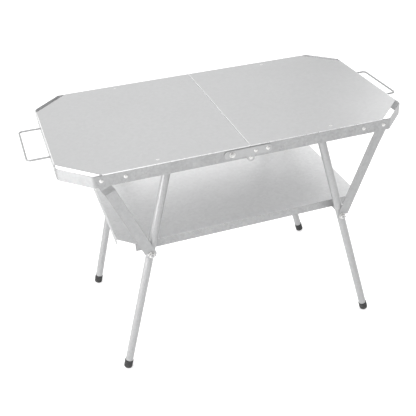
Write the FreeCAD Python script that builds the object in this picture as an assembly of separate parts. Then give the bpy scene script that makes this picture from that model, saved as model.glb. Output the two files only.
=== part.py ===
import FreeCAD, Part
import os
from math import atan2, cos, degrees, hypot, pi, radians, sin, tan

# Camp kitchen table: a sheet-metal top in two halves that fold on a centre hinge, two splayed
# leg frames with bar braces, a loose shelf on the frames' cross rods, and a wire handle at each end.
# Millimetres. X runs along the table, front is -Y, Z is up, the floor is z = 0.

# ---- overall sizes ----
table_length = 1200.0
table_width = 668.0
table_height = 838.0

# ---- sheet-metal top ----
sheet_thickness = 1.2
rim_height = 41.0
fold_lip_height = 18.0
fold_gap = 1.0            # between the two halves on the fold line
corner_cut = 127.0        # how far the sheet is cut back along X and Y at each corner
rail_tab = 24.0           # how far a rim runs on past the corner cut to hold a corner strip
tab_clip = 11.0           # lower corner clipped off each tab
bend_radius = 1.0

# ---- corner strips ----
strip_cut = 96.0          # where a strip's outside leaves the rims
strip_thickness = 2.0
strip_tail = 118.0        # length held inside a long rim
strip_handle_gap = 24.5   # from the end of the tail in the end rim to a handle's collar
strip_top_gap = 0.3       # under the sheet

# ---- centre hinge ----
hinge_thickness = 3.0
hinge_gap = 0.2           # between a plate and what turns on it
hinge_height = 28.0
hinge_drop = 5.0          # top of a plate below the top surface
plate_left_reach = 90.0
plate_right_reach = 73.0
ear_radius = 13.0
hinge_pin_radius = 4.0
hinge_pin_fit = 0.05
lock_bolt_x = 63.0
lock_bolt_radius = 4.0
lock_slot_clearance = 0.4
lock_slot_sweep = 40.0    # degrees, enough for the slot to run out of the plate
pin_notch_gap = 2.0       # rims to hinge pin
leaf_reach = 88.0
leaf_inset = 5.0          # a leaf's long edges in from the plate's

# ---- leg frames ----
tube_diameter = 28.0
tube_wall = 1.5
leg_angle = 15.7          # from upright, feet outward
leg_pivot_x = 255.0
leg_pivot_drop = 22.0     # pivot below the top surface
leg_above_pivot = 10.0
frame_inset = 23.5        # middle of a right-hand tube, in from the edge of the table
frame_gap = 0.5           # between the feet of the left frame and the right one it nests in
foot_diameter = 31.5
foot_length = 34.0
foot_base = 9.0           # rubber under the end of the tube
foot_round = 6.0
leg_pin_radius = 4.0
leg_pin_fit = 0.05
rod_drop = 353.0          # cross rod below the top surface
rod_diameter = 10.0
rod_past_nut = 3.0

# ---- leg brackets ----
bracket_thickness = 2.0
bracket_length = 84.0
bracket_outer_end = 28.0  # from the pivot to the bracket's end on the fold side
bracket_flange_inset = 19.0
bracket_depth = 33.0
bracket_slant = 14.0
bracket_toe = 8.0
bracket_gap = 0.5
bracket_rivet_out = 41.0  # from the leg's pivot towards the table's end
bracket_rivet_inset = 29.0

# ---- braces ----
brace_width = 37.0
brace_thickness = 3.0
brace_gap = 0.6           # brace to tube
brace_pivot_back = 24.0   # from a strip's bend towards the fold
brace_pivot_drop = 20.5
brace_pin_radius = 4.0
brace_pin_fit = 0.05
joggle_start = 30.0       # along the brace from its pivot
joggle_end = 72.0
brace_past_rod = 15.0
rod_slot_clearance = 0.6
rod_exit_share = 0.7      # the rod's way out levels off, so the slot has this share of its first slope

# ---- shelf ----
shelf_length = 892.0
shelf_side_gap = 1.5      # shelf to the left frame's tubes
shelf_corner = 53.0
shelf_lip = 31.0
shelf_clip = 7.0          # lower corner clipped off each end of a side lip
shelf_rest = 0.1          # lips above the cross rods

# ---- handles ----
handle_wire = 6.5
handle_width = 226.0
handle_corner = 12.0
handle_drop = 20.0
handle_left_out = 76.0
handle_right_out = 58.0
handle_inside = 22.0      # wire inside the rim when the handle is fully out
handle_hole_gap = 0.3
stop_diameter = 13.0
stop_thickness = 4.0
stop_gap = 0.2

# ---- fasteners ----
rivet_radius = 3.0
rivet_head_radius = 6.5
rivet_head_height = 2.6
rivet_upset = 0.5         # end of a strip's rivet behind the strip
flush_head_radius = 5.5
washer_radius = 12.0
washer_thickness = 1.5
rod_nut_across = 17.0
rod_nut_height = 8.0
lock_nut_across = 13.0
lock_nut_height = 6.5
lock_bolt_past = 3.0
lock_head_height = 5.0
lock_washer_radius = 10.0
strip_rivet_back = 99.0   # from a strip's bend towards the fold

# ---- worked out ----
half_length = table_length / 2
half_width = table_width / 2
rim_bottom = table_height - rim_height
rim_inner = half_width - sheet_thickness
rim_end_x = half_length - corner_cut + rail_tab
rim_middle = table_height - rim_height / 2
sheet_bottom = table_height - sheet_thickness
strip_inner = rim_inner - strip_thickness
tube_radius = tube_diameter / 2
strip_inside_x = half_length - sheet_thickness - strip_thickness
strip_bend_x = half_length - strip_cut
strip_bend_y = half_width - strip_cut
strip_end_y = (handle_width + stop_diameter) / 2 + strip_handle_gap
strip_rivet_x = strip_bend_x - strip_rivet_back
end_rivet_y = (strip_bend_y + strip_end_y) / 2
leg_pivot_z = table_height - leg_pivot_drop
right_frame_y = half_width - frame_inset
left_frame_y = right_frame_y - foot_diameter - frame_gap
bracket_rivet_x = leg_pivot_x + bracket_rivet_out
bracket_rivet_y = half_width - bracket_rivet_inset
rod_z = table_height - rod_drop
rod_x = leg_pivot_x + (leg_pivot_z - rod_z) * tan(radians(leg_angle))
brace_pivot_x = strip_bend_x - brace_pivot_back
brace_pivot_z = table_height - brace_pivot_drop
brace_outer = strip_inner - hinge_gap
hinge_middle = table_height - hinge_drop - hinge_height / 2
leaf_rivet_x = -2 * ear_radius
shelf_width = 2 * (left_frame_y - tube_radius - shelf_side_gap)
shelf_top = rod_z + rod_diameter / 2 + shelf_rest + shelf_lip
handle_z = table_height - handle_drop
# the origin is under the middle of the whole table, handles included
fold_x = (handle_left_out - handle_right_out) / 2

sides = ("left", "right")
ends = ("front", "back")
frame_y = {"left": left_frame_y, "right": right_frame_y}


def vec(x, y, z):
    return FreeCAD.Vector(x, y, z)


def box(x0, x1, y0, y1, z0, z1):
    corner = vec(min(x0, x1), min(y0, y1), min(z0, z1))
    return Part.makeBox(abs(x1 - x0), abs(y1 - y0), abs(z1 - z0), corner)


def rodY(x, z, y0, y1, radius):
    """Round bar along Y."""
    return Part.makeCylinder(radius, abs(y1 - y0), vec(x, min(y0, y1), z), vec(0, 1, 0))


def rodZ(x, y, z0, z1, radius):
    return Part.makeCylinder(radius, z1 - z0, vec(x, y, z0))


def rodX(y, z, x0, x1, radius):
    return Part.makeCylinder(radius, abs(x1 - x0), vec(min(x0, x1), y, z), vec(1, 0, 0))


def prism(points, direction):
    """Solid swept from a flat polygon."""
    face = Part.Face(Part.makePolygon(points + points[:1]))
    return face.extrude(direction)


def mirrorX(shape):
    return shape.mirror(vec(0, 0, 0), vec(1, 0, 0))


def mirrorY(shape):
    return shape.mirror(vec(0, 0, 0), vec(0, 1, 0))


def placed(shape, side, end="front"):
    """A piece modelled at the right front corner, put at another corner."""
    if side == "left":
        shape = mirrorX(shape)
    if end == "back":
        shape = mirrorY(shape)
    return shape


def domedHead(x, z, y, out, radius, height):
    """Rivet head on a face across Y; out is the way it stands."""
    head = rodY(x, z, y, y + out * height, radius)
    rim = [e for e in head.Edges if e.Closed and abs(e.CenterOfMass.y - y) > height / 2]
    return head.makeFillet(height * 0.8, rim)


def hexNut(x, z, y0, y1, across):
    corner = across / 2 / cos(pi / 6)
    points = [vec(x + corner * cos(i * pi / 3), y0, z + corner * sin(i * pi / 3)) for i in range(6)]
    nut = prism(points, vec(0, y1 - y0, 0))
    bevel = Part.makeCone(corner * 1.25, corner * 0.92, abs(y1 - y0), vec(x, y0, z), vec(0, y1 - y0, 0))
    return nut.common(bevel)


def stadium(x0, x1, z, height, y0, y1):
    """Flat bar along X with round ends."""
    r = height / 2
    bar = box(x0 + r, x1 - r, y0, y1, z - r, z + r)
    return bar.fuse([rodY(x0 + r, z, y0, y1, r), rodY(x1 - r, z, y0, y1, r)]).removeSplitter()


# ---------------------------------------------------------------- top halves
def topHalf():
    """Right half: sheet, two long rims with tabs, an end rim, and a lip along the fold."""
    x0 = fold_gap / 2
    x1 = half_length - corner_cut
    y1 = half_width - corner_cut
    outline = [(x0, -half_width), (x1, -half_width), (half_length, -y1),
               (half_length, y1), (x1, half_width), (x0, half_width)]
    sheet = prism([vec(x, y, sheet_bottom) for x, y in outline], vec(0, 0, sheet_thickness))
    side = [(x0, rim_bottom), (rim_end_x - tab_clip, rim_bottom),
            (rim_end_x, rim_bottom + tab_clip), (rim_end_x, table_height), (x0, table_height)]
    front = prism([vec(x, -half_width, z) for x, z in side], vec(0, sheet_thickness, 0))
    end_y = y1 + rail_tab
    end = box(half_length - sheet_thickness, half_length, -end_y, end_y, rim_bottom, table_height)
    lip = box(x0, x0 + sheet_thickness, -rim_inner, rim_inner, table_height - fold_lip_height, table_height)
    half = sheet.fuse([front, mirrorY(front), end, lip]).removeSplitter()
    long_edges = []
    for e in half.Edges:
        c = e.CenterOfMass
        onTop = abs(c.z - table_height) < 0.01
        onRim = abs(abs(c.y) - half_width) < 0.01 or abs(c.x - half_length) < 0.01
        if onTop and onRim and e.Length > rail_tab + 1:
            long_edges.append(e)
    half = half.makeFillet(bend_radius, long_edges)
    for y in (-1, 1):
        out = y * (half_width + 1)
        inside = y * (rim_inner - 1)
        rivet_y = y * bracket_rivet_y
        holes = [rodY(0, rim_bottom, out, inside, hinge_pin_radius + pin_notch_gap),
                 rodY(brace_pivot_x, brace_pivot_z, out, inside, brace_pin_radius),
                 rodY(strip_rivet_x, rim_middle, out, inside, rivet_radius),
                 rimHole(y * end_rivet_y, rim_middle, rivet_radius),
                 rimHole(y * handle_width / 2, handle_z, handle_wire / 2 + handle_hole_gap),
                 flushHead(bracket_rivet_x, rivet_y)]
        half = half.cut(holes)
    return half


def flushHead(x, y):
    """Countersunk rivet head, as deep as the sheet is thick."""
    return Part.makeCone(rivet_radius, flush_head_radius, sheet_thickness, vec(x, y, sheet_bottom))


def rimHole(y, z, radius):
    """Cutter for a hole through the end rim and what lies against it."""
    return rodX(y, z, strip_inside_x - 1, half_length + 1, radius)


def topHalves():
    half = topHalf()
    left = drilledForHinge(mirrorX(half), (-lock_bolt_x, leaf_rivet_x), lock_bolt_radius)
    right = drilledForHinge(half, plateRivets(), rivet_radius)
    return {"top_left": left, "top_right": right}


def drilledForHinge(half, places, radius):
    """Holes through both rims at the hinge's height."""
    return half.cut([rodY(x, hinge_middle, y * (half_width + 1), y * (rim_inner - 1), radius)
                     for x in places for y in (-1, 1)])


# ---------------------------------------------------------------- corner strips
def cornerStrip():
    """Right front strip: a flat bar bent twice at 45 degrees, its tails inside the rims."""
    t = strip_thickness
    shift = t * tan(pi / 8)
    x0 = strip_bend_x - strip_tail
    x1 = half_length - sheet_thickness
    outer = [(x0, -rim_inner), (strip_bend_x, -rim_inner), (x1, -strip_bend_y), (x1, -strip_end_y)]
    inner = [(x1 - t, -strip_end_y), (x1 - t, -strip_bend_y + shift),
             (strip_bend_x - shift, -rim_inner + t), (x0, -rim_inner + t)]
    height = rim_height - sheet_thickness - strip_top_gap
    strip = prism([vec(x, y, rim_bottom) for x, y in outer + inner], vec(0, 0, height))
    strip = strip.cut(rodY(brace_pivot_x, brace_pivot_z, -half_width, -strip_inner + 1, brace_pin_radius))
    strip = strip.cut(rodY(strip_rivet_x, rim_middle, -half_width, -strip_inner + 1, rivet_radius))
    return strip.cut(rimHole(-end_rivet_y, rim_middle, rivet_radius))


def stripRivets():
    """The two rivets of the right front strip."""
    depth = sheet_thickness + strip_thickness + rivet_upset
    shank = rodY(strip_rivet_x, rim_middle, -half_width, -half_width + depth, rivet_radius)
    head = domedHead(strip_rivet_x, rim_middle, -half_width, -1, rivet_head_radius, rivet_head_height)
    end_shank = rodX(-end_rivet_y, rim_middle, half_length - depth, half_length, rivet_radius)
    head_x = half_length + rivet_head_height
    end_head = rodX(-end_rivet_y, rim_middle, half_length, head_x, rivet_head_radius)
    rim = [e for e in end_head.Edges if e.Closed and abs(e.CenterOfMass.x - head_x) < 0.01]
    end_head = end_head.makeFillet(rivet_head_height * 0.8, rim)
    return [shank.fuse(head), end_shank.fuse(end_head)]


# ---------------------------------------------------------------- centre hinge
def hingePlate():
    """Front plate, fixed outside the right rim, slotted over the lock bolt in the left rim."""
    y0 = -half_width - hinge_gap
    y1 = y0 - hinge_thickness
    plate = stadium(-plate_left_reach, plate_right_reach, hinge_middle, hinge_height, y0, y1)
    plate = plate.fuse([rodY(0, rim_bottom, y0, y1, ear_radius),
                        box(-ear_radius, ear_radius, y0, y1, rim_bottom, hinge_middle)]).removeSplitter()
    plate = plate.cut(rodY(0, rim_bottom, y0 + 1, y1 - 1, hinge_pin_radius + hinge_pin_fit))
    plate = plate.cut(lockSlot(y0, y1))
    for x in plateRivets():
        plate = plate.cut(rodY(x, hinge_middle, y0 + 1, y1 - 1, rivet_radius))
    return plate


def lockSlot(y0, y1):
    """Arc about the hinge pin that the lock bolt follows as the right half drops."""
    lift = hinge_middle - rim_bottom
    reach = hypot(lock_bolt_x, lift)
    start = degrees(atan2(lift, -lock_bolt_x))
    r = lock_bolt_radius + lock_slot_clearance
    depth = abs(y1 - y0) + 2
    base = vec(0, max(y0, y1) + 1, rim_bottom)
    ring = Part.makeCylinder(reach + r, depth, base, vec(0, -1, 0), 360)
    ring = ring.cut(Part.makeCylinder(reach - r, depth, base, vec(0, -1, 0), 360))
    far = 3 * reach
    a0, a1 = radians(start), radians(start + lock_slot_sweep)
    wedge = [vec(0, base.y, rim_bottom),
             vec(far * cos(a0), base.y, rim_bottom + far * sin(a0)),
             vec(far * cos(a1), base.y, rim_bottom + far * sin(a1))]
    arc = ring.common(prism(wedge, vec(0, -depth, 0)))
    return arc.fuse(rodY(-lock_bolt_x, hinge_middle, base.y, base.y - depth, r))


def plateRivets():
    return (plate_right_reach - hinge_height / 2, plate_right_reach - 2 * hinge_height)


def hingeLeaf():
    """Front leaf, fixed inside the left rim and carrying the hinge pin."""
    y0 = -rim_inner
    y1 = y0 + hinge_thickness
    lip_x = fold_gap / 2 + sheet_thickness + hinge_gap
    top = hinge_middle + hinge_height / 2 - leaf_inset
    leaf = box(-leaf_reach, -lip_x, y0, y1, rim_bottom + leaf_inset, top)
    leaf = leaf.fuse([rodY(0, rim_bottom, y0, y1, ear_radius),
                      box(-2 * ear_radius, 0, y0, y1, rim_bottom, hinge_middle)]).removeSplitter()
    leaf = leaf.cut(rodY(0, rim_bottom, y0 - 1, y1 + 1, hinge_pin_radius))
    for x in (-lock_bolt_x, leaf_rivet_x):
        leaf = leaf.cut(rodY(x, hinge_middle, y0 - 1, y1 + 1, lock_bolt_radius))
    return leaf


def hingePin():
    outside = -half_width - hinge_gap - hinge_thickness - hinge_gap
    inside = -rim_inner + hinge_thickness
    pin = rodY(0, rim_bottom, outside, inside, hinge_pin_radius)
    return pin.fuse(domedHead(0, rim_bottom, outside, -1, rivet_head_radius, rivet_head_height))


def leafRivet():
    """Flush under the hinge plate that turns over it."""
    return rodY(leaf_rivet_x, hinge_middle, -half_width, -rim_inner + hinge_thickness, lock_bolt_radius)


def plateRivet(x):
    outside = -half_width - hinge_gap - hinge_thickness
    shank = rodY(x, hinge_middle, outside, -rim_inner + 1, rivet_radius)
    return shank.fuse(domedHead(x, hinge_middle, outside, -1, rivet_head_radius, rivet_head_height))


def lockWasherFace():
    """Where the front lock washer meets the clearance over the hinge plate."""
    return -half_width - 2 * hinge_gap - hinge_thickness


def lockBolt():
    outside = lockWasherFace() - washer_thickness - lock_nut_height - lock_bolt_past
    inside = -rim_inner + hinge_thickness
    bolt = rodY(-lock_bolt_x, hinge_middle, outside, inside, lock_bolt_radius)
    head = hexNut(-lock_bolt_x, hinge_middle, inside, inside + lock_head_height, lock_nut_across)
    return bolt.fuse(head)


def lockNut():
    y0 = lockWasherFace()
    washer = rodY(-lock_bolt_x, hinge_middle, y0, y0 - washer_thickness, lock_washer_radius)
    nut = hexNut(-lock_bolt_x, hinge_middle, y0 - washer_thickness,
                 y0 - washer_thickness - lock_nut_height, lock_nut_across)
    hole = rodY(-lock_bolt_x, hinge_middle, y0, y0 - washer_thickness - lock_nut_height, lock_bolt_radius)
    return washer.cut(hole), nut.cut(hole)


# ---------------------------------------------------------------- leg frames
def alongLeg(s, across=0.0):
    """Point on a right leg's line, s down from its pivot, across toward the end of the table."""
    a = radians(leg_angle)
    return (leg_pivot_x + s * sin(a) + across * cos(a), leg_pivot_z - s * cos(a) + across * sin(a))


def legEnd():
    """Distance from the pivot to the very end of the rubber foot, so that the foot just meets the floor."""
    a = radians(leg_angle)
    r = foot_diameter / 2
    end_z = (r - foot_round) * sin(a) + foot_round * (1 - cos(a))
    return (leg_pivot_z - end_z) / cos(a)


def legBar(s0, s1, radius, y):
    x0, z0 = alongLeg(s0)
    x1, z1 = alongLeg(s1)
    return Part.makeCylinder(radius, s1 - s0, vec(x0, y, z0), vec(x1 - x0, 0, z1 - z0))


def legTube(y):
    end = legEnd() - foot_base
    tube = legBar(-leg_above_pivot, end, tube_radius, y)
    tube = tube.cut(legBar(-leg_above_pivot - 1, end + 1, tube_radius - tube_wall, y))
    tube = tube.cut(rodY(leg_pivot_x, leg_pivot_z, y - tube_radius - 1, y + tube_radius + 1,
                         leg_pin_radius + leg_pin_fit))
    return tube.cut(rodY(rod_x, rod_z, y - tube_radius - 1, y + tube_radius + 1, rod_diameter / 2))


def rubberFoot(y):
    end = legEnd()
    foot = legBar(end - foot_length, end, foot_diameter / 2, y)
    low = [e for e in foot.Edges if e.Closed and e.CenterOfMass.z < foot_length / 2]
    foot = foot.makeFillet(foot_round, low)
    return foot.cut(legBar(end - foot_length - 1, end - foot_base, tube_radius, y))


def braceInner(side):
    """Inner face of a brace's lower part, measured out from the table's centre line."""
    return frame_y[side] + tube_radius + brace_gap


def rodEnd(side):
    return braceInner(side) + brace_thickness + washer_thickness + rod_nut_height + rod_past_nut


def crossRod(side):
    return rodY(rod_x, rod_z, -rodEnd(side), rodEnd(side), rod_diameter / 2)


def rodNut(side):
    y0 = -(braceInner(side) + brace_thickness)
    y1 = y0 - washer_thickness
    hole = rodY(rod_x, rod_z, y0 + 1, -rodEnd(side) - 1, rod_diameter / 2)
    washer = rodY(rod_x, rod_z, y0, y1, washer_radius)
    return washer.cut(hole), hexNut(rod_x, rod_z, y1, y1 - rod_nut_height, rod_nut_across).cut(hole)


# ---------------------------------------------------------------- leg brackets
def legBracket(side):
    """Right front bracket: a cheek on the inner side of the tube, its flange riveted under the sheet."""
    cheek_outer = frame_y[side] - tube_radius - bracket_gap
    cheek_inner = cheek_outer - bracket_thickness
    x0 = leg_pivot_x - bracket_outer_end
    x1 = x0 + bracket_length
    bottom = sheet_bottom - bracket_depth
    cheek = [(x0, sheet_bottom), (x0, sheet_bottom - bracket_depth / 2), (x0 + bracket_slant, bottom),
             (leg_pivot_x + bracket_slant, bottom), (x1, sheet_bottom - bracket_toe), (x1, sheet_bottom)]
    bracket = prism([vec(x, -cheek_outer, z) for x, z in cheek], vec(0, bracket_thickness, 0))
    flange_y = half_width - bracket_flange_inset
    flange = box(x0, x1, -cheek_inner, -flange_y, sheet_bottom - bracket_thickness, sheet_bottom)
    bracket = bracket.fuse(flange).removeSplitter()
    pin_hole = rodY(leg_pivot_x, leg_pivot_z, -cheek_outer - 1, -cheek_inner + 1, leg_pin_radius)
    rivet_hole = rodZ(bracket_rivet_x, -bracket_rivet_y, sheet_bottom - 10, sheet_bottom, rivet_radius)
    return bracket.cut([pin_hole, rivet_hole])


def legPin(side):
    inside = frame_y[side] - tube_radius - bracket_gap - bracket_thickness
    outside = frame_y[side] + tube_radius
    pin = rodY(leg_pivot_x, leg_pivot_z, -outside, -inside, leg_pin_radius)
    return pin.fuse(domedHead(leg_pivot_x, leg_pivot_z, -inside, 1, rivet_head_radius, rivet_head_height))


def bracketRivet():
    """Flush with the worktop, so that a flat thing can stand on it."""
    y = -bracket_rivet_y
    shank = rodZ(bracket_rivet_x, y, sheet_bottom - bracket_thickness, sheet_bottom, rivet_radius)
    return shank.fuse(flushHead(bracket_rivet_x, y))


# ---------------------------------------------------------------- braces
def brace(side):
    """Right front brace: a flat bar joggled inward below the rim, notched over the cross rod."""
    dx = rod_x - brace_pivot_x
    dz = rod_z - brace_pivot_z
    length = hypot(dx, dz)
    upper = -brace_outer
    lower = -(braceInner(side) + brace_thickness)
    t = brace_thickness
    r = brace_width / 2
    end = length + brace_past_rod
    path = [(-r, upper), (joggle_start, upper), (joggle_end, lower), (end, lower),
            (end, lower + t), (joggle_end, lower + t), (joggle_start, upper + t), (-r, upper + t)]
    bar = prism([vec(s, y, -r) for s, y in path], vec(0, 0, brace_width))
    shape = box(0, end - r, -half_width, 0, -r, r)
    shape = shape.fuse([rodY(0, 0, -half_width, 0, r), rodY(end - r, 0, -half_width, 0, r)])
    bar = bar.common(shape)
    bar = bar.cut(rodY(0, 0, -half_width, 0, brace_pin_radius + brace_pin_fit))
    down = degrees(atan2(-dz, dx))
    bar.rotate(vec(0, 0, 0), vec(0, 1, 0), down)
    bar.translate(vec(brace_pivot_x, 0, brace_pivot_z))
    return bar.cut(rodNotch())


def rodNotch():
    """Open slot that the rod leaves outward as leg and brace swing apart, once its nuts are slack."""
    r = rod_diameter / 2 + rod_slot_clearance
    slot = box(0, 2 * brace_width, -half_width, 0, -r, r).fuse(rodY(0, 0, -half_width, 0, r))
    sideways = leg_pivot_z + brace_pivot_z - 2 * rod_z
    down = leg_pivot_x + brace_pivot_x - 2 * rod_x
    slot.rotate(vec(0, 0, 0), vec(0, 1, 0), rod_exit_share * degrees(atan2(down, sideways)))
    slot.translate(vec(rod_x, 0, rod_z))
    return slot


def braceRivet():
    inside = -brace_outer + brace_thickness + hinge_gap
    rivet = rodY(brace_pivot_x, brace_pivot_z, -half_width, inside, brace_pin_radius)
    outer = domedHead(brace_pivot_x, brace_pivot_z, -half_width, -1, rivet_head_radius, rivet_head_height)
    inner = domedHead(brace_pivot_x, brace_pivot_z, inside, 1, rivet_head_radius, rivet_head_height)
    return rivet.fuse([outer, inner])


# ---------------------------------------------------------------- shelf
def shelf():
    """Flat tray with its corners cut off and a lip down each side."""
    hx = shelf_length / 2
    hy = shelf_width / 2
    c = shelf_corner
    t = sheet_thickness
    outline = [(-hx + c, -hy), (hx - c, -hy), (hx, -hy + c), (hx, hy - c),
               (hx - c, hy), (-hx + c, hy), (-hx, hy - c), (-hx, -hy + c)]
    tray = prism([vec(x, y, shelf_top - t) for x, y in outline], vec(0, 0, t))
    low = shelf_top - shelf_lip
    clip = shelf_clip
    side = [(-hx + c, shelf_top), (-hx + c, low + clip), (-hx + c + clip, low),
            (hx - c - clip, low), (hx - c, low + clip), (hx - c, shelf_top)]
    front = prism([vec(x, -hy, z) for x, z in side], vec(0, t, 0))
    end = box(hx - t, hx, -hy + c, hy - c, low, shelf_top)
    tray = tray.fuse([front, mirrorY(front), end, mirrorX(end)]).removeSplitter()
    long_edges = []
    for e in tray.Edges:
        m = e.CenterOfMass
        onSide = abs(abs(m.y) - hy) < 0.01 or abs(abs(m.x) - hx) < 0.01
        if abs(m.z - shelf_top) < 0.01 and onSide:
            long_edges.append(e)
    return tray.makeFillet(bend_radius, long_edges)


# ---------------------------------------------------------------- handles
def handle(out):
    """Right-hand wire bail, its arms through the end rim."""
    x0 = half_length - handle_inside
    x1 = half_length + out - handle_wire / 2
    y = handle_width / 2
    r = handle_corner
    k = r * (1 - cos(pi / 4))
    edges = [Part.LineSegment(vec(x0, -y, handle_z), vec(x1 - r, -y, handle_z)),
             Part.Arc(vec(x1 - r, -y, handle_z), vec(x1 - k, -y + k, handle_z), vec(x1, -y + r, handle_z)),
             Part.LineSegment(vec(x1, -y + r, handle_z), vec(x1, y - r, handle_z)),
             Part.Arc(vec(x1, y - r, handle_z), vec(x1 - k, y - k, handle_z), vec(x1 - r, y, handle_z)),
             Part.LineSegment(vec(x1 - r, y, handle_z), vec(x0, y, handle_z))]
    path = Part.Wire([e.toShape() for e in edges])
    ring = Part.Wire(Part.Circle(vec(x0, -y, handle_z), vec(1, 0, 0), handle_wire / 2).toShape())
    return path.makePipeShell([ring], True, True)


def handleStops(back):
    """Collars on the arms that catch inside the rim; back is how far the handle is from fully out."""
    x1 = half_length - sheet_thickness - stop_gap - back
    stops = []
    for y in (-handle_width / 2, handle_width / 2):
        collar = rodX(y, handle_z, x1 - stop_thickness, x1, stop_diameter / 2)
        stops.append(collar.cut(rodX(y, handle_z, x1 - 2 * stop_thickness, x1 + 1, handle_wire / 2)))
    return stops


def frontAndBack(solids):
    return solids + [mirrorY(s) for s in solids]


def build():
    parts = topHalves()
    for side in sides:
        y = -frame_y[side]
        for end in ends:
            name = f"{end}_{side}"
            parts[f"corner_strip_{name}"] = placed(cornerStrip(), side, end)
            parts[f"leg_bracket_{name}"] = placed(legBracket(side), side, end)
            parts[f"leg_{name}"] = placed(legTube(y), side, end)
            parts[f"foot_{name}"] = placed(rubberFoot(y), side, end)
            parts[f"brace_{name}"] = placed(brace(side), side, end)
        washer, nut = rodNut(side)
        groups = {"strip_rivets": stripRivets(), "bracket_rivets": [bracketRivet()],
                  "brace_rivets": [braceRivet()], "leg_pins": [legPin(side)],
                  "rod_washers": [washer], "rod_nuts": [nut]}
        for group, solids in groups.items():
            pair = [placed(s, side) for s in frontAndBack(solids)]
            parts[f"{group}_{side}"] = Part.makeCompound(pair)
        parts[f"cross_rod_{side}"] = placed(crossRod(side), side)
    for end in ends:
        parts[f"hinge_plate_{end}"] = placed(hingePlate(), "right", end)
        parts[f"hinge_leaf_{end}"] = placed(hingeLeaf(), "right", end)
    washer, nut = lockNut()
    hinge_groups = {"hinge_pins": [hingePin()], "leaf_rivets": [leafRivet()], "lock_bolts": [lockBolt()],
                    "lock_washers": [washer], "lock_nuts": [nut],
                    "plate_rivets": [plateRivet(x) for x in plateRivets()]}
    for group, solids in hinge_groups.items():
        parts[group] = Part.makeCompound(frontAndBack(solids))
    parts["shelf"] = shelf()
    fully_out = max(handle_left_out, handle_right_out)
    for side, out in (("left", handle_left_out), ("right", handle_right_out)):
        back = fully_out - out
        bail = handle(fully_out)
        bail.translate(vec(-back, 0, 0))
        parts[f"handle_{side}"] = placed(bail, side)
        collars = [placed(s, side) for s in handleStops(back)]
        parts[f"handle_stops_{side}"] = Part.makeCompound(collars)
    return parts


os.makedirs("parts", exist_ok=True)
for name, shape in build().items():
    shape.translate(vec(fold_x, 0, 0))
    shape.exportStep(f"parts/{name}.step")
    bb = shape.BoundBox
    print(f"{name}: {len(shape.Solids)} solid(s), valid {shape.isValid()}, "
          f"x {bb.XMin:.1f}..{bb.XMax:.1f} y {bb.YMin:.1f}..{bb.YMax:.1f} z {bb.ZMin:.1f}..{bb.ZMax:.1f}")
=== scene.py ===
from math import cos, pi, radians, sin

import bmesh
import bpy
from mathutils import Matrix, Vector, noise


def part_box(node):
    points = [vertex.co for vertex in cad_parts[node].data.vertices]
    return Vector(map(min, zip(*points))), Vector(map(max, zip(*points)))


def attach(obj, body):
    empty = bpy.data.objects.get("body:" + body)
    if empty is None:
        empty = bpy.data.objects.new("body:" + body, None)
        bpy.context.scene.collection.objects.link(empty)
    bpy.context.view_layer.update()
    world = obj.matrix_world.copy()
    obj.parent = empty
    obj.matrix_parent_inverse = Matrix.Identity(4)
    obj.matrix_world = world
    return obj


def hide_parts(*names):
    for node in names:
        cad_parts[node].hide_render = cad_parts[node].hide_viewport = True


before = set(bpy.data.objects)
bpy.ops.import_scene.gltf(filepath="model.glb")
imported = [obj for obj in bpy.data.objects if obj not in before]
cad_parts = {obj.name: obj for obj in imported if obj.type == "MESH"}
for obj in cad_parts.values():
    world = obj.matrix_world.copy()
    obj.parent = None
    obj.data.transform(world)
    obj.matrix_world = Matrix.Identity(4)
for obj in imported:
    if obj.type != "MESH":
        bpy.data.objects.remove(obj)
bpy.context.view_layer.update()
mm = 0.001
samePlane = 0.00005  # metres; places closer than this share a plane
slack = 0.1 * mm

topLeftLow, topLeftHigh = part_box("top_left")
topLow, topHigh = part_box("top_right")
foldX = (topLeftHigh.x + topLow.x) / 2
print("frame loaded, fold at x =", round(foldX, 4))


def middle(a, b):
    return (a + b) / 2


def near(a, b):
    return abs(a - b) < samePlane


def clearSelection():
    if bpy.context.mode != "OBJECT":
        bpy.ops.object.mode_set(mode="OBJECT")
    bpy.ops.object.select_all(action="DESELECT")


def makeActive(piece):
    clearSelection()
    piece.select_set(True)
    bpy.context.view_layer.objects.active = piece


def startEdit(piece):
    makeActive(piece)
    bpy.ops.object.mode_set(mode="EDIT")
    bpy.ops.mesh.select_all(action="SELECT")


def pick(piece, kind, test):  # test gets the places of an item's corners
    bpy.ops.mesh.select_mode(type=kind)
    bpy.ops.mesh.select_all(action="DESELECT")
    mesh = bmesh.from_edit_mesh(piece.data)
    for item in {"EDGE": mesh.edges, "FACE": mesh.faces}[kind]:
        if test([v.co for v in item.verts]):
            item.select_set(True)
    bmesh.update_edit_mesh(piece.data)


def extrude(x, y, z):
    bpy.ops.mesh.extrude_region_move(TRANSFORM_OT_translate={"value": (x, y, z)})


def cutAway(place, normal):  # drops what lies on the normal's side of a plane
    bpy.ops.mesh.bisect(plane_co=place, plane_no=Vector(normal).normalized(), clear_outer=True)


def bendEdges(piece, test, radius, steps):
    pick(piece, "EDGE", test)
    bpy.ops.mesh.bevel(offset=radius * mm, segments=steps, affect="EDGES", clamp_overlap=True)


def turnFacesOut(piece, direction):  # open sheet: its largest face looks along direction
    startEdit(piece)
    bpy.ops.mesh.normals_make_consistent(inside=False)
    bpy.ops.object.mode_set(mode="OBJECT")
    largest = max(piece.data.polygons, key=lambda face: face.area)
    if largest.normal.dot(Vector(direction)) < 0:
        piece.data.flip_normals()


def applyModifier(piece, kind, **values):
    modifier = piece.modifiers.new(kind.lower(), kind)
    for key, value in values.items():
        setattr(modifier, key, value)
    makeActive(piece)
    bpy.ops.object.modifier_apply(modifier=modifier.name)


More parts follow.
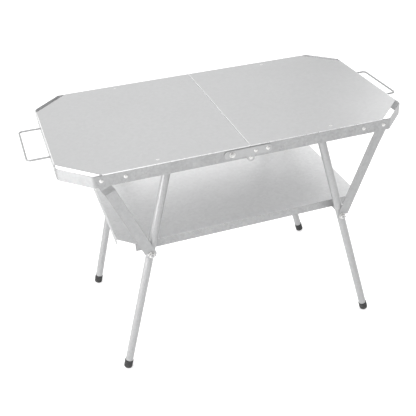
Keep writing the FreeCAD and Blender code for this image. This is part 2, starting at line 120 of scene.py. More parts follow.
def giveWall(piece, thickness):  # grows inwards from the outer face
    applyModifier(piece, "SOLIDIFY", thickness=thickness * mm, offset=-1, use_even_offset=True)


def bakePlace(piece):
    makeActive(piece)
    bpy.ops.object.transform_apply(location=True, rotation=True, scale=True)
    return piece


def copyOf(piece, matrix):
    makeActive(piece)
    bpy.ops.object.duplicate()
    twin = bpy.context.object
    twin.data.transform(matrix)
    if matrix.determinant() < 0:
        twin.data.flip_normals()
    return twin


def joined(pieces):
    makeActive(pieces[0])
    for piece in pieces:
        piece.select_set(True)
    bpy.ops.object.join()
    return bpy.context.object


mirrorX = Matrix.Diagonal((-1, 1, 1, 1))
otherSide = Matrix.Translation((2 * foldX, 0, 0)) @ mirrorX
otherEnd = Matrix.Diagonal((1, -1, 1, 1))


def frontAndBack(piece):
    return joined([piece, copyOf(piece, otherEnd)])


def turned(rings, sides):  # rings of (radius, height) in mm, closed at both ends, about Z
    clearSelection()
    radius, height = rings[0]
    bpy.ops.mesh.primitive_circle_add(vertices=sides, radius=radius * mm, fill_type="NGON",
                                      location=(0, 0, height * mm))
    piece = bpy.context.object
    startEdit(piece)
    for nextRadius, nextHeight in rings[1:]:
        extrude(0, 0, (nextHeight - height) * mm)
        share = nextRadius / radius
        bpy.ops.transform.resize(value=(share, share, 1),
                                 center_override=(0, 0, nextHeight * mm))
        radius, height = nextRadius, nextHeight
    return bakePlace(piece)


def aimed(piece, start, direction):  # local Z goes along direction
    turn = Vector(direction).to_track_quat("Z", "Y").to_matrix().to_4x4()
    piece.data.transform(Matrix.Translation(start) @ turn)
    return piece


# degrees up to which a fold is shaded smooth, then how upright a flat and a bend face
shading = {"smoothTo": 35, "flatFrom": 0.985, "bendFrom": 0.2}


def settle(piece, name, body, finish, nodes, bendHighlight=None, rimShade=None):
    bakePlace(piece)
    startEdit(piece)
    bpy.ops.mesh.normals_make_consistent(inside=False)
    makeActive(piece)
    bpy.ops.object.shade_smooth_by_angle(angle=radians(shading["smoothTo"]))
    applyModifier(piece, "WEIGHTED_NORMAL", weight=50, keep_sharp=True)
    piece.name = name
    piece.data.name = name
    piece.data.materials.clear()
    piece.data.materials.append(finish)
    if bendHighlight is not None:  # painted highlight on the bends, which get a much brighter base than the flats, and painted shade on the upright rims, which get a darker one
        piece.data.materials.append(bendHighlight)
        piece.data.materials.append(rimShade)
        for face in piece.data.polygons:
            upright = abs(face.normal.z)
            isFlat, isBend = upright > shading["flatFrom"], upright > shading["bendFrom"]
            face.material_index = 0 if isFlat else 1 if isBend else 2
    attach(piece, body)
    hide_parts(*nodes)


def addNode(tree, kind, settings=None, inputs=None, feeds=None):
    made = tree.nodes.new(kind)
    for key, value in (settings or {}).items():
        setattr(made, key, value)
    for key, value in (inputs or {}).items():
        made.inputs[key].default_value = value
    for key, socket in (feeds or {}).items():
        tree.links.new(socket, made.inputs[key])
    return made


def addNoise(tree, place, scale, detail):
    return addNode(tree, "ShaderNodeTexNoise", inputs={"Scale": scale, "Detail": detail},
                   feeds={"Vector": place})


def addRange(tree, source, **ends):
    names = {"fromLow": "From Min", "fromHigh": "From Max", "toLow": "To Min", "toHigh": "To Max"}
    inputs = {names[key]: value for key, value in ends.items()}
    made = addNode(tree, "ShaderNodeMapRange", inputs=inputs, feeds={"Value": source})
    return made.outputs["Result"]


def addBlend(tree, first, second, share):  # from one colour to another
    made = addNode(tree, "ShaderNodeMix", {"data_type": "RGBA"}, {6: (*first, 1), 7: (*second, 1)},
                   {0: share})
    return made.outputs[2]


def newFinish(name):
    finish = bpy.data.materials.new(name)
    finish.use_nodes = True
    tree = finish.node_tree
    tree.nodes.clear()
    shader = addNode(tree, "ShaderNodeBsdfPrincipled")
    addNode(tree, "ShaderNodeOutputMaterial", feeds={"Surface": shader.outputs["BSDF"]})
    place = addNode(tree, "ShaderNodeTexCoord").outputs["Object"]
    return finish, tree, shader, place


def steelFinish(name, look):
    finish, tree, shader, place = newFinish(name)
    shader.inputs["Metallic"].default_value = look["metal"]
    patches = addNoise(tree, place, look["patches"], 5.0)
    patches.inputs["Roughness"].default_value = 0.55
    bent = addNode(tree, "ShaderNodeVectorMath", {"operation": "MULTIPLY_ADD"},
                   {1: [look["spangleWarp"]] * 3}, {0: patches.outputs["Color"], 2: place})
    spangle = addNode(tree, "ShaderNodeTexVoronoi", {"feature": "F1"}, {"Scale": look["spangle"]},
                      {"Vector": bent.outputs[0]})
    stretched = addNode(tree, "ShaderNodeMapping", inputs={"Scale": look["grain"]},
                        feeds={"Vector": place})
    grain = addNoise(tree, stretched.outputs["Vector"], 1.0, 3.0)
    speckle = addNoise(tree, place, look["speckle"], 2.0)
    sources = (patches.outputs["Fac"], spangle.outputs["Color"], grain.outputs["Fac"],
               speckle.outputs["Fac"])
    total = None
    for share, source in zip(look["shares"], sources):
        step = addNode(tree, "ShaderNodeMath", {"operation": "MULTIPLY_ADD"}, {1: share, 2: 0.0},
                       {0: source})
        if total is not None:
            tree.links.new(total, step.inputs[2])
        total = step.outputs[0]
    centre = sum(look["shares"]) / 2
    spread = addRange(tree, total, fromLow=centre - look["halfSpread"],
                      fromHigh=centre + look["halfSpread"])
    colour = addBlend(tree, look["dark"], look["light"], spread)
    tree.links.new(colour, shader.inputs["Base Color"])
    rough = addRange(tree, spread, toLow=look["rough"][0], toHigh=look["rough"][1])
    tree.links.new(rough, shader.inputs["Roughness"])
    waves = addNoise(tree, place, look["waves"], 1.5)
    rolled = addNode(tree, "ShaderNodeBump",
                     inputs={"Strength": look["waveStrength"], "Distance": look["waveDepth"]},
                     feeds={"Height": waves.outputs["Fac"]})
    skin = addNode(tree, "ShaderNodeBump",
                   inputs={"Strength": look["grainStrength"], "Distance": look["grainDepth"]},
                   feeds={"Height": total, "Normal": rolled.outputs["Normal"]})
    tree.links.new(skin.outputs["Normal"], shader.inputs["Normal"])
    return finish


def rubberFinish(name, look):
    finish, tree, shader, place = newFinish(name)
    grime = addNoise(tree, place, look["grime"], 6.0)
    parts = addNode(tree, "ShaderNodeSeparateXYZ", feeds={"Vector": place})
    low = addRange(tree, parts.outputs["Z"], fromLow=0.0, fromHigh=look["dustHeight"],
                   toLow=look["dustShare"][0], toHigh=look["dustShare"][1])
    dust = addNode(tree, "ShaderNodeMath", {"operation": "MULTIPLY"},
                   feeds={0: low, 1: grime.outputs["Fac"]})
    colour = addBlend(tree, look["rubber"], look["dust"], dust.outputs[0])
    tree.links.new(colour, shader.inputs["Base Color"])
    rough = addRange(tree, grime.outputs["Fac"], toLow=look["rough"][0], toHigh=look["rough"][1])
    tree.links.new(rough, shader.inputs["Roughness"])
    fine = addNoise(tree, place, look["fine"], 2.0)
    skin = addNode(tree, "ShaderNodeBump",
                   inputs={"Strength": look["fineStrength"], "Distance": look["fineDepth"]},
                   feeds={"Height": fine.outputs["Fac"]})
    tree.links.new(skin.outputs["Normal"], shader.inputs["Normal"])
    return finish


sheetLook = {
    "metal": 0.8, "dark": (0.43, 0.432, 0.435), "light": (0.51, 0.512, 0.515),
    "rough": (0.34, 0.46), "patches": 5.0, "spangle": 95.0, "spangleWarp": 0.012,
    "grain": (6.0, 220.0, 220.0), "speckle": 700.0,
    "shares": (0.34, 0.26, 0.10, 0.30),  # patches, spangle, grain, speckle
    "halfSpread": 0.24,  # each side of the mean, from dark to light
    "waves": 5.0, "waveStrength": 0.5, "waveDepth": 0.0012,
    "grainStrength": 0.35, "grainDepth": 0.00005,
}
tubeLook = dict(sheetLook, metal=0.35, dark=(0.31, 0.312, 0.315), light=(0.40, 0.402, 0.405),
                rough=(0.28, 0.38), spangle=160.0, grain=(420.0, 420.0, 9.0), waves=14.0,
                waveDepth=0.0003)
barLook = dict(sheetLook, metal=0.7, dark=(0.31, 0.312, 0.315), light=(0.41, 0.412, 0.415),
               rough=(0.36, 0.50), spangle=130.0, grain=(300.0, 300.0, 12.0), waves=16.0,
               waveDepth=0.0004)
zincLook = dict(sheetLook, metal=0.9, dark=(0.50, 0.498, 0.49), light=(0.76, 0.758, 0.75),
                rough=(0.20, 0.36), patches=60.0, spangle=420.0, grain=(500.0, 500.0, 500.0),
                waves=60.0, waveDepth=0.0002)
# painted highlight: a near-white base for the bends of the sheets, so that the folds read as bright
# edges
bendHighlightLook = dict(sheetLook, metal=0.9, dark=(0.80, 0.802, 0.805), light=(0.94, 0.942, 0.945),
                  rough=(0.24, 0.36))
# painted shade: the upright rims of a sheet get a darker base than its flat
rimShadeLook = dict(sheetLook, metal=0.75, dark=(0.295, 0.297, 0.30), light=(0.42, 0.422, 0.425),
               rough=(0.38, 0.50), patches=26.0, spangle=150.0, shares=(0.45, 0.35, 0.05, 0.15))
# painted light: the shelf gets a much brighter base than the worktop sheet, to make up for the
# shade under the worktop
shelfPaintedLightLook = dict(sheetLook, metal=0.75, dark=(0.70, 0.702, 0.705), light=(0.84, 0.842, 0.845),
                 rough=(0.42, 0.54))
stripLook = dict(barLook, light=(0.40, 0.402, 0.405), grain=(200.0, 200.0, 30.0))
bracketLook = dict(barLook, grain=(12.0, 300.0, 300.0))
hingeLook = dict(bracketLook, dark=(0.36, 0.362, 0.365), light=(0.46, 0.462, 0.465))
rubberLook = {
    "rubber": (0.012, 0.012, 0.013), "dust": (0.10, 0.098, 0.095),
    "dustHeight": 0.030, "dustShare": (0.75, 0.1),  # on the floor, and at that height
    "grime": 90.0, "rough": (0.42, 0.72), "fine": 1600.0, "fineStrength": 0.4, "fineDepth": 0.00025,
}
worktopSteel = steelFinish("worktopSteel", sheetLook)
bendHighlightSteel = steelFinish("bendHighlightSteel", bendHighlightLook)
rimShadeSteel = steelFinish("rimShadeSteel", rimShadeLook)
shelfPaintedLightSteel = steelFinish("shelfPaintedLightSteel", shelfPaintedLightLook)
stripSteel = steelFinish("stripSteel", stripLook)
tubeSteel = steelFinish("tubeSteel", tubeLook)
braceSteel = steelFinish("braceSteel", barLook)
bracketSteel = steelFinish("bracketSteel", bracketLook)
hingeSteel = steelFinish("hingeSteel", hingeLook)
wireSteel = steelFinish("wireSteel", dict(tubeLook, grain=(60.0, 60.0, 60.0)))
zincSteel = steelFinish("zincSteel", zincLook)
footRubber = rubberFinish("footRubber", rubberLook)
print("finishes made")


# Sizes below are in mm. The flat of a sheet lies "drop" under its CAD face, so that rivet
# heads can stand a little proud of it inside the CAD box.
worktop = {
    "thickness": 1.2, "drop": 0.4, "bend": 3.0, "bendSteps": 4, "foldBend": 1.6,
    "foldBendSteps": 3, "cornerCut": 127.0, "tab": 24.0, "tabClip": 11.0, "foldLip": 18.0,
    "along": 30, "across": 34, "unevenness": 0.5, "swells": 4.5, "seed": 3.0,
}


def sheetGrid(low, high, sheet):
    clearSelection()
    centre = (middle(low.x, high.x), middle(low.y, high.y), high.z - sheet["drop"] * mm)
    bpy.ops.mesh.primitive_grid_add(x_subdivisions=sheet["along"], y_subdivisions=sheet["across"],
                                    size=1, location=centre)
    piece = bpy.context.object
    piece.scale = (high.x - low.x, high.y - low.y, 1)
    return bakePlace(piece)


def uneven(piece, sheet):  # the flat of a sheet is never quite flat; it only goes down
    startEdit(piece)
    mesh = bmesh.from_edit_mesh(piece.data)
    seed, swells = sheet["seed"], sheet["swells"]
    for v in mesh.verts:
        if not v.is_boundary:
            swell = noise.noise(Vector((v.co.x * swells + seed, v.co.y * swells, seed)))
            v.co.z -= sheet["unevenness"] * mm * (0.5 + 0.5 * swell)
    bmesh.update_edit_mesh(piece.data)


def worktopHalf():
    w = worktop
    top = topHigh.z - w["drop"] * mm
    bottom = topLow.z
    cutX = topHigh.x - w["cornerCut"] * mm
    cutY = topHigh.y - w["cornerCut"] * mm
    tab = w["tab"] * mm
    piece = sheetGrid(topLow, topHigh, w)
    for side in (-1, 1):
        startEdit(piece)
        cutAway((cutX, side * topHigh.y, top), (1, side, 0))
    uneven(piece, w)

    def onTop(places):
        return all(near(p.z, top) for p in places)

    def onRims(places):  # the top edges of the long rims and the end rim
        return onTop(places) and (all(near(abs(p.y), topHigh.y) for p in places)
                                  or all(near(p.x, topHigh.x) for p in places))

    def onFold(places):
        return onTop(places) and all(near(p.x, topLow.x) for p in places)

    def underBend(p):
        return p.z < top - w["bend"] * mm + slack

    pick(piece, "EDGE", onRims)
    extrude(0, 0, bottom - top)
    bendEdges(piece, onRims, w["bend"], w["bendSteps"])
    pick(piece, "EDGE", onFold)
    extrude(0, 0, -w["foldLip"] * mm)
    bendEdges(piece, onFold, w["foldBend"], w["foldBendSteps"])
    pick(piece, "EDGE", lambda e: all(near(p.x, cutX) and near(abs(p.y), topHigh.y)
                                      and underBend(p) for p in e))
    extrude(tab, 0, 0)
    for side in (-1, 1):
        pick(piece, "EDGE", lambda e: all(near(p.x, topHigh.x) and near(p.y, side * cutY)
                                          and underBend(p) for p in e))
        extrude(0, side * tab, 0)
        pick(piece, "FACE", lambda f: all(p.x > cutX - slack and near(p.y, side * topHigh.y)
                                          for p in f))
        cutAway((cutX + tab - w["tabClip"] * mm, side * topHigh.y, bottom), (1, 0, -1))
    turnFacesOut(piece, (0, 0, 1))
    giveWall(piece, w["thickness"])
    return piece


shelfTray = {
    "thickness": 1.2, "drop": 0.4, "bend": 4.0, "bendSteps": 4, "cornerCut": 53.0,
    "lipClip": 7.0, "along": 34, "across": 22, "unevenness": 0.7, "swells": 4.5, "seed": 11.0,
}


def shelfSheet():
    s = shelfTray
    low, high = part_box("shelf")
    top = high.z - s["drop"] * mm
    middleX = middle(low.x, high.x)
    halfX = (high.x - low.x) / 2
    cut = s["cornerCut"] * mm
    clip = s["lipClip"] * mm
    piece = sheetGrid(low, high, s)
    for sideX in (-1, 1):
        for sideY in (-1, 1):
            startEdit(piece)
            cutAway((middleX + sideX * (halfX - cut), sideY * high.y, top), (sideX, sideY, 0))
    uneven(piece, s)

    def onSides(places):
        flat = all(near(p.z, top) for p in places)
        return flat and (all(near(abs(p.y), high.y) for p in places)
                         or all(near(abs(p.x - middleX), halfX) for p in places))

    pick(piece, "EDGE", onSides)
    extrude(0, 0, low.z - top)
    bendEdges(piece, onSides, s["bend"], s["bendSteps"])
    for sideX in (-1, 1):
        pick(piece, "FACE", lambda f: all(near(abs(p.y), high.y)
                                          and p.z < top - s["bend"] * mm + slack for p in f))
        cutAway((middleX + sideX * (halfX - cut - clip), high.y, low.z), (sideX, 0, -1))
    turnFacesOut(piece, (0, 0, 1))
    giveWall(piece, s["thickness"])
    return piece


half = worktopHalf()
leftHalf = copyOf(half, otherSide)
settle(half, "worktopRight", "top_right", worktopSteel, ["top_right"],
       bendHighlightSteel, rimShadeSteel)
settle(leftHalf, "worktopLeft", "top_left", worktopSteel, ["top_left"],
       bendHighlightSteel, rimShadeSteel)
settle(shelfSheet(), "shelfTray", "shelf", shelfPaintedLightSteel, ["shelf"],
       bendHighlightSteel, rimShadeSteel)
print("folded sheets done")


cornerBar = {
    "thickness": 2.0, "bendRadius": 6.0, "bendSteps": 6, "cut": 96.0,
    "edgeBreak": 0.4, "edgeSteps": 2, "edgeFrom": 50,  # degrees
}


def cornerStrip():  # the front right one, from its tail in the long rim round to the end rim
    c = cornerBar
    low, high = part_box("corner_strip_front_right")
    bendX = topHigh.x - c["cut"] * mm
    bendY = topLow.y + c["cut"] * mm
    clearSelection()
    bpy.ops.mesh.primitive_plane_add(
        size=1, rotation=(pi / 2, 0, 0),
        location=(middle(low.x, bendX), low.y, middle(low.z, high.z)))
    piece = bpy.context.object
    piece.scale = (bendX - low.x, high.z - low.z, 1)
    bakePlace(piece)

    def atFirstBend(places):
        return all(near(p.x, bendX) for p in places)

    def atSecondBend(places):
        return all(near(p.x, high.x) and near(p.y, bendY) for p in places)

    startEdit(piece)
    pick(piece, "EDGE", atFirstBend)
    extrude(high.x - bendX, bendY - low.y, 0)
    extrude(0, high.y - bendY, 0)
    bendEdges(piece, lambda e: atFirstBend(e) or atSecondBend(e), c["bendRadius"], c["bendSteps"])
    turnFacesOut(piece, (0.5, -0.6, 0))
    giveWall(piece, c["thickness"])
    applyModifier(piece, "BEVEL", width=c["edgeBreak"] * mm, segments=c["edgeSteps"],
                  limit_method="ANGLE", angle_limit=radians(c["edgeFrom"]))
    return piece


rightFront = cornerStrip()
strips = {
    "front_right": rightFront, "back_right": copyOf(rightFront, otherEnd),
    "front_left": copyOf(rightFront, otherSide),
    "back_left": copyOf(rightFront, otherSide @ otherEnd),
}
for corner, strip in strips.items():
    side = corner.split("_")[1]
    settle(strip, "cornerStrip_" + corner, "top_" + side, stripSteel,
           ["corner_strip_" + corner])
print("corner strips done")


tube = {
    "radius": 14.0, "wall": 1.5, "angle": 15.7, "roll": 0.7, "hollow": 30.0,
    "innerEdge": 0.5, "innerEdgeHeight": 0.4, "stretches": 12, "sides": 48,
}


def legLine(side, end):  # top and bottom of a leg's middle line
    low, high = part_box(f"leg_{end}_{side}")
    slope = radians(tube["angle"])
    y = middle(low.y, high.y)
    across = tube["radius"] * mm * cos(slope)
    down = tube["radius"] * mm * sin(slope)
    upperX, lowerX = low.x + across, high.x - across
    if side == "left":
        upperX, lowerX = lowerX, upperX
    return Vector((upperX, y, high.z - down)), Vector((lowerX, y, low.z + down))


def legTube(length):
    t = tube
    r, roll, stretches = t["radius"], t["roll"], t["stretches"]
    inner = r - t["wall"]
    full = length / mm
    rings = [(inner, t["hollow"]), (inner, t["innerEdgeHeight"]), (inner + t["innerEdge"], 0.0),
             (r - roll, 0.0), (r, roll)]
    rings += [(r, full * i / stretches) for i in range(1, stretches)]
    rings += [(r, full - roll), (r - roll, full)]
    return turned(rings, t["sides"])


foot = {
    "radius": 15.75, "base": 9.0, "sides": 48,
    "ribs": 3, "ribDepth": 0.7, "firstRib": 9.5, "ribPitch": 4.0,
    "ribEdges": (0.0, 0.7, 1.7, 2.4),  # heights of a groove's four rings
    "toe": [(5.4, 0.0), (3.2, 0.5), (1.5, 1.9), (0.45, 3.9), (0.0, 6.2)],  # inset, height
    "mouth": [(0.15, 26.0), (0.0, 28.5), (0.0, 32.4), (0.5, 33.6), (1.5, 34.0)],
}


def rubberFoot():
    r = foot["radius"]
    deep = r - foot["ribDepth"]
    rings = [(r - inset, height) for inset, height in foot["toe"]]
    for i in range(foot["ribs"]):  # shallow grip grooves
        start = foot["firstRib"] + foot["ribPitch"] * i
        rings += [(radius, start + up) for radius, up in zip((r, deep, deep, r), foot["ribEdges"])]
    rings += [(r - inset, height) for inset, height in foot["mouth"]]
    return turned(rings, foot["sides"])


rod = {
    "radius": 5.0, "pitch": 1.5, "threaded": 15.0, "threadDepth": 0.45,
    "endInset": 0.6, "endHeight": 0.7, "runOut": 1.0, "sides": 24,
}


def crossRod(side):
    low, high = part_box(f"cross_rod_{side}")
    reach = (high.y - low.y) / 2 / mm
    r, pitch = rod["radius"], rod["pitch"]
    core = r - rod["threadDepth"]
    rings = [(core - rod["endInset"], -reach), (core, -reach + rod["endHeight"])]
    for i in range(int(rod["threaded"] / pitch)):
        start = -reach + rod["endHeight"] + i * pitch
        rings += [(r, start + pitch * 0.5), (core, start + pitch)]
    rings.append((r, rings[-1][1] + rod["runOut"]))
    rings += [(radius, -height) for radius, height in reversed(rings)]
    return aimed(turned(rings, rod["sides"]), (middle(low.x, high.x), 0, middle(low.z, high.z)),
                 (0, 1, 0))


for side in ("left", "right"):
    for end in ("front", "back"):
        upper, lower = legLine(side, end)
        along = lower - upper
        leg = aimed(legTube(along.length), upper, along)
        settle(leg, f"legTube_{end}_{side}", "legs_" + side, tubeSteel,
               [f"leg_{end}_{side}"])
        tip = lower + along.normalized() * foot["base"] * mm
        shoe = aimed(rubberFoot(), tip, -along)
        settle(shoe, f"rubberFoot_{end}_{side}", "legs_" + side, footRubber,
               [f"foot_{end}_{side}"])
    settle(crossRod(side), "crossRod_" + side, "legs_" + side, wireSteel,
           ["cross_rod_" + side])
print("legs done")


bail = {"radius": 3.25, "corner": 12.0, "sides": 20, "steps": 8}
collar = {"radius": 6.5, "edge": 0.6, "play": 0.02, "sides": 28}


def wireHandle():
    low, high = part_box("handle_right")
    r = bail["radius"] * mm
    bend = bail["corner"] * mm
    z = middle(low.z, high.z)
    armY = high.y - r
    turnX = high.x - r - bend
    clearSelection()
    bpy.ops.mesh.primitive_circle_add(vertices=bail["sides"], radius=r, fill_type="NGON",
                                      location=(low.x, -armY, z), rotation=(0, pi / 2, 0))
    piece = bakePlace(bpy.context.object)
    startEdit(piece)
    bpy.ops.mesh.select_mode(type="FACE")
    extrude(turnX - low.x, 0, 0)
    bpy.ops.mesh.spin(steps=bail["steps"], angle=-pi / 2, center=(turnX, -armY + bend, z),
                      axis=(0, 0, 1))
    extrude(0, 2 * (armY - bend), 0)
    bpy.ops.mesh.spin(steps=bail["steps"], angle=-pi / 2, center=(turnX, armY - bend, z),
                      axis=(0, 0, 1))
    extrude(low.x - turnX, 0, 0)
    clearSelection()
    return piece


def handleCollars():
    low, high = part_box("handle_stops_right")
    r, edge = collar["radius"], collar["edge"]
    bore = bail["radius"] + collar["play"]
    length = (high.x - low.x) / mm
    rings = [(bore, 0.0), (r - edge, 0.0), (r, edge), (r, length - edge), (r - edge, length),
             (bore, length)]
    place = (low.x, high.y - r * mm, middle(low.z, high.z))
    return frontAndBack(aimed(turned(rings, collar["sides"]), place, (1, 0, 0)))


for name, node, slotName, finish, make in (
        ("wireHandle_", "handle_", "wire_steel", wireSteel, wireHandle),
        ("handleCollars_", "handle_stops_", "zinc_fastener", zincSteel, handleCollars)):
    piece = make()
    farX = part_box(node + "left")[1].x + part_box(node + "right")[0].x
    twin = copyOf(piece, Matrix.Translation((farX, 0, 0)) @ mirrorX)
    settle(piece, name + "right", "handle_right", finish, [node + "right"])
    settle(twin, name + "left", "handle_left", finish, [node + "left"])
print("handles done")


dome = {
    "radius": 6.5, "height": 2.6, "sunk": 0.6, "setRing": 0.25, "arcSteps": 6, "tip": 0.3,
    "sides": 28,
}
flush = {"radius": 5.5, "height": 0.9}
shank = {"radius": 4.0, "edge": 0.4, "sides": 24}
disc = {"edge": 0.3, "sides": 40}
nutShape = [(0.90, 0.0), (1.0, 0.16), (1.0, 0.84), (0.90, 1.0)]  # shares of corner and height


def domed(radius, height):  # head with a slight set ring at its foot
    ring, steps = dome["setRing"], dome["arcSteps"]
    rings = [(radius, -dome["sunk"]), (radius, ring)]
    for i in range(1, steps + 1):
        a = pi / 2 * i / steps
        rings.append((max(radius * cos(a), dome["tip"]), ring + (height - ring) * sin(a)))
    return turned(rings, dome["sides"])


def chamfered(radius, length, edge, sides):
    return turned([(radius - edge, 0.0), (radius, edge), (radius, length - edge),
                   (radius - edge, length)], sides)


def rivetHead(place, direction):
    return aimed(domed(dome["radius"], dome["height"]), place, direction)


def shankFrom(place, length):  # towards the back
    return aimed(chamfered(shank["radius"], length, shank["edge"], shank["sides"]), place,
                 (0, 1, 0))


def washerOn(place, radius, thickness):
    return aimed(chamfered(radius, thickness, disc["edge"], disc["sides"]), place, (0, 1, 0))


def nutOn(place, across, height, direction=(0, 1, 0)):  # corners turned off at both faces
    corner = across / 2 / cos(pi / 6)
    rings = [(corner * wide, height * up) for wide, up in nutShape]
    return aimed(turned(rings, 6), place, direction)


def fasten(parts, name, body, node):  # made at one edge and mirrored to the other
    piece = joined(parts) if len(parts) > 1 else parts[0]
    settle(frontAndBack(piece), name, body, zincSteel, [node])


def middleXZ(node):
    low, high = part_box(node)
    return middle(low.x, high.x), middle(low.z, high.z)


stripRivet = {"tailEnd": 144.0}  # where a strip's tail ends in the end rim, from the middle
braceRivet = {"length": 9.0, "innerHead": 3.2}  # in from the brace's outer face
rodEnd = {"washer": 12.0, "washerThickness": 1.5, "nutAcross": 17.0, "nutHeight": 8.0}

for side in ("left", "right"):
    out = 1 if side == "right" else -1
    inward = dome["radius"] * mm
    low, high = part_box("strip_rivets_" + side)
    z = middle(low.z, high.z)
    railX = low.x + inward if out > 0 else high.x - inward
    faceX = topHigh.x if out > 0 else topLeftLow.x
    faceY = topLow.y
    endY = -(topHigh.y - cornerBar["cut"] * mm + stripRivet["tailEnd"] * mm) / 2
    fasten([rivetHead((railX, faceY, z), (0, -1, 0)), rivetHead((faceX, endY, z), (out, 0, 0))],
           "stripRivets_" + side, "top_" + side, "strip_rivets_" + side)

    x, z = middleXZ("brace_rivets_" + side)
    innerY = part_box(f"brace_back_{side}")[1].y - braceRivet["innerHead"] * mm
    fasten([rivetHead((x, faceY, z), (0, -1, 0)), shankFrom((x, faceY, z), braceRivet["length"]),
            rivetHead((x, -innerY, z), (0, 1, 0))],
           "braceRivets_" + side, "top_" + side, "brace_rivets_" + side)

    low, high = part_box("bracket_rivets_" + side)
    place = (middle(low.x, high.x), low.y + flush["radius"] * mm,
             topHigh.z - flush["height"] * mm)
    fasten([aimed(domed(flush["radius"], flush["height"]), place, (0, 0, 1))],
           "worktopRivets_" + side, "top_" + side, "bracket_rivets_" + side)

    x, z = middleXZ("leg_pins_" + side)
    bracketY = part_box(f"leg_bracket_back_{side}")[0].y
    pinLength = (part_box("leg_pins_" + side)[1].y - bracketY) / mm
    fasten([shankFrom((x, bracketY, z), pinLength), rivetHead((x, bracketY, z), (0, -1, 0))],
           "legPins_" + side, "top_" + side, "leg_pins_" + side)

    x, z = middleXZ("rod_washers_" + side)
    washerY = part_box("rod_washers_" + side)[1].y
    braceY = washerY - rodEnd["washerThickness"] * mm
    fasten([washerOn((x, braceY, z), rodEnd["washer"], rodEnd["washerThickness"])],
           "rodWashers_" + side, "legs_" + side, "rod_washers_" + side)
    fasten([nutOn((x, washerY, z), rodEnd["nutAcross"], rodEnd["nutHeight"])],
           "rodNuts_" + side, "legs_" + side, "rod_nuts_" + side)
print("leg and rim fixings done")


lockBolt = {
    "washer": 10.0, "washerThickness": 1.5, "nutAcross": 13.0, "nutHeight": 6.5,
    "headHeight": 5.0,
}
hinge = {"leafDepth": 4.2, "pinProud": 0.2}  # rim and leaf together, and the gap under a pin head

x, z = middleXZ("lock_washers")
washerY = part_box("lock_washers")[1].y
plateY = washerY - lockBolt["washerThickness"] * mm
fasten([washerOn((x, plateY, z), lockBolt["washer"], lockBolt["washerThickness"])],
       "lockWashers", "top_left", "lock_washers")
fasten([nutOn((x, washerY, z), lockBolt["nutAcross"], lockBolt["nutHeight"])],
       "lockNuts", "top_left", "lock_nuts")

boltIn = topHigh.y - hinge["leafDepth"] * mm
boltLength = (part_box("lock_bolts")[1].y - boltIn) / mm
fasten([shankFrom((x, boltIn, z), boltLength),
        nutOn((x, boltIn, z), lockBolt["nutAcross"], lockBolt["headHeight"], (0, -1, 0))],
       "lockBolts", "top_left", "lock_bolts")

x, z = middleXZ("hinge_pins")
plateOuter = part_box("hinge_plate_back")[1].y
fasten([shankFrom((x, boltIn, z), (plateOuter - boltIn) / mm),
        rivetHead((x, plateOuter + hinge["pinProud"] * mm, z), (0, 1, 0))],
       "hingePins", "top_left", "hinge_pins")

low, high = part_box("plate_rivets")
z = middle(low.z, high.z)
rivetX = (low.x + dome["radius"] * mm, high.x - dome["radius"] * mm)
fasten([rivetHead((x, plateOuter, z), (0, 1, 0)) for x in rivetX],
       "plateRivets", "top_right", "plate_rivets")

x, z = middleXZ("leaf_rivets")
rivetLength = (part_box("leaf_rivets")[1].y - boltIn) / mm
fasten([shankFrom((x, boltIn, z), rivetLength)], "leafRivets", "top_left", "leaf_rivets")
print("hinge fixings done")


edges = {
    "brace": 0.45, "hinge": 0.5, "bracket": 0.3, "steps": 2,
    "from": 38, "flatTo": 1.5,  # degrees
    "merge": 0.02,
}


def softened(node, width):  # a CAD shape with its hard edges broken
    piece = bpy.data.objects.new(node + "_soft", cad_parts[node].data.copy())
    bpy.context.scene.collection.objects.link(piece)
    startEdit(piece)
    bpy.ops.mesh.remove_doubles(threshold=edges["merge"] * mm)
    bpy.ops.mesh.dissolve_limited(angle_limit=radians(edges["flatTo"]))
    applyModifier(piece, "BEVEL", width=width * mm, segments=edges["steps"],
                  limit_method="ANGLE", angle_limit=radians(edges["from"]), harden_normals=False)
    return piece


for end in ("front", "back"):
    for side in ("left", "right"):
        corner = f"{end}_{side}"
        settle(softened("brace_" + corner, edges["brace"]), "braceBar_" + corner,
               "braces_" + side, braceSteel, ["brace_" + corner])
        settle(softened("leg_bracket_" + corner, edges["bracket"]), "legBracket_" + corner,
               "top_" + side, bracketSteel, ["leg_bracket_" + corner])
    settle(softened("hinge_plate_" + end, edges["hinge"]), "hingePlate_" + end, "top_right",
           hingeSteel, ["hinge_plate_" + end])
    settle(softened("hinge_leaf_" + end, edges["hinge"]), "hingeLeaf_" + end, "top_left",
           hingeSteel, ["hinge_leaf_" + end])
print("bars and plates done")


studio = {
    "floorSide": 36.0, "floorDrop": 0.2, "floorColours": ((0.84, 0.84, 0.84), (0.93, 0.93, 0.93)),
    "floorPatches": 3.0, "floorRough": 0.9, "floorGlow": 0.36,
    "skyColour": (1.0, 1.0, 1.0), "skyLeft": 1.1, "skyRight": 0.5, "aim": (0, 0, 0.5),
    "lights": [  # place and size in metres, power in watts
        ((-4.6, 3.0, 3.6), 3.6, 76.0),
        ((4.9, 3.4, 3.6), 3.8, 96.0),
        ((-2.6, -2.1, 1.8), 2.2, 30.0),
        ((0.9, 5.2, 4.4), 4.2, 42.0),
        ((-0.4, -2.2, 4.4), 2.6, 38.0),
        ((-3.0, -1.0, 0.5), 1.2, 26.0),
    ],
}


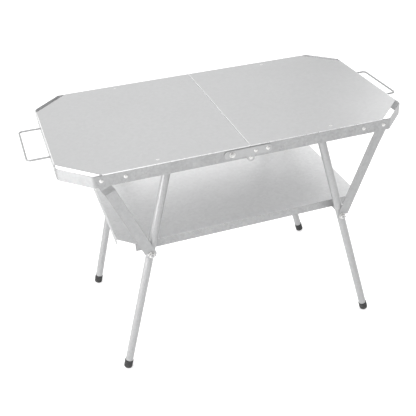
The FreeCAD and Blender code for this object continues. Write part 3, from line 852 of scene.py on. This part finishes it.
def buildFloor():
    clearSelection()
    bpy.ops.mesh.primitive_plane_add(size=studio["floorSide"],
                                     location=(0, 0, -studio["floorDrop"] * mm))
    floor = bpy.context.object
    floor.name = "studioFloor"
    finish, tree, shader, place = newFinish("paleFloor")
    soft = addNoise(tree, place, studio["floorPatches"], 3.0)
    tone = addBlend(tree, *studio["floorColours"], soft.outputs["Fac"])
    tree.links.new(tone, shader.inputs["Base Color"])
    shader.inputs["Roughness"].default_value = studio["floorRough"]
    shader.inputs["Emission Color"].default_value = (1, 1, 1, 1)
    shader.inputs["Emission Strength"].default_value = studio["floorGlow"]
    floor.data.materials.append(finish)


def buildLight():  # a pale sky, brighter on the left, and six soft lamps
    world = bpy.data.worlds.new("softSky")
    world.use_nodes = True
    tree = world.node_tree
    sky = tree.nodes["Background"]
    sky.inputs["Color"].default_value = (*studio["skyColour"], 1)
    way = addNode(tree, "ShaderNodeTexCoord").outputs["Generated"]
    sides = addNode(tree, "ShaderNodeSeparateXYZ", feeds={"Vector": way})
    fade = addRange(tree, sides.outputs["X"], fromLow=-1.0, fromHigh=1.0,
                    toLow=studio["skyLeft"], toHigh=studio["skyRight"])
    tree.links.new(fade, sky.inputs["Strength"])
    bpy.context.scene.world = world
    for i, (place, size, power) in enumerate(studio["lights"]):
        bpy.ops.object.light_add(type="AREA", location=place)
        lamp = bpy.context.object
        lamp.name = f"softbox{i}"
        lamp.data.size = size
        lamp.data.energy = power
        aim = Vector(studio["aim"]) - Vector(place)
        lamp.rotation_euler = aim.to_track_quat("-Z", "Y").to_euler()


camera = {
    "place": (-0.7102, -2.2255, 1.8634), "azimuth": -19.44, "elevation": 35.21, "roll": -1.99,
    "lens": 61.44, "shift": (-0.074, 0.101),
}


def placeCamera():
    a, e, r = (radians(camera[key]) for key in ("azimuth", "elevation", "roll"))
    back = Vector((sin(a) * cos(e), -cos(a) * cos(e), sin(e)))
    right = Vector((cos(a), sin(a), 0))
    up = back.cross(right)
    rolledRight = cos(r) * right + sin(r) * up
    rolledUp = cos(r) * up - sin(r) * right
    turn = Matrix((rolledRight, rolledUp, back)).transposed().to_4x4()
    data = bpy.data.cameras.new("studioCamera")
    data.lens = camera["lens"]
    data.shift_x, data.shift_y = camera["shift"]
    view = bpy.data.objects.new("studioCamera", data)
    bpy.context.scene.collection.objects.link(view)
    view.matrix_world = Matrix.Translation(camera["place"]) @ turn
    bpy.context.scene.camera = view


buildFloor()
buildLight()
placeCamera()
bpy.context.scene.view_settings.view_transform = "Standard"
print("floor, light and camera ready")
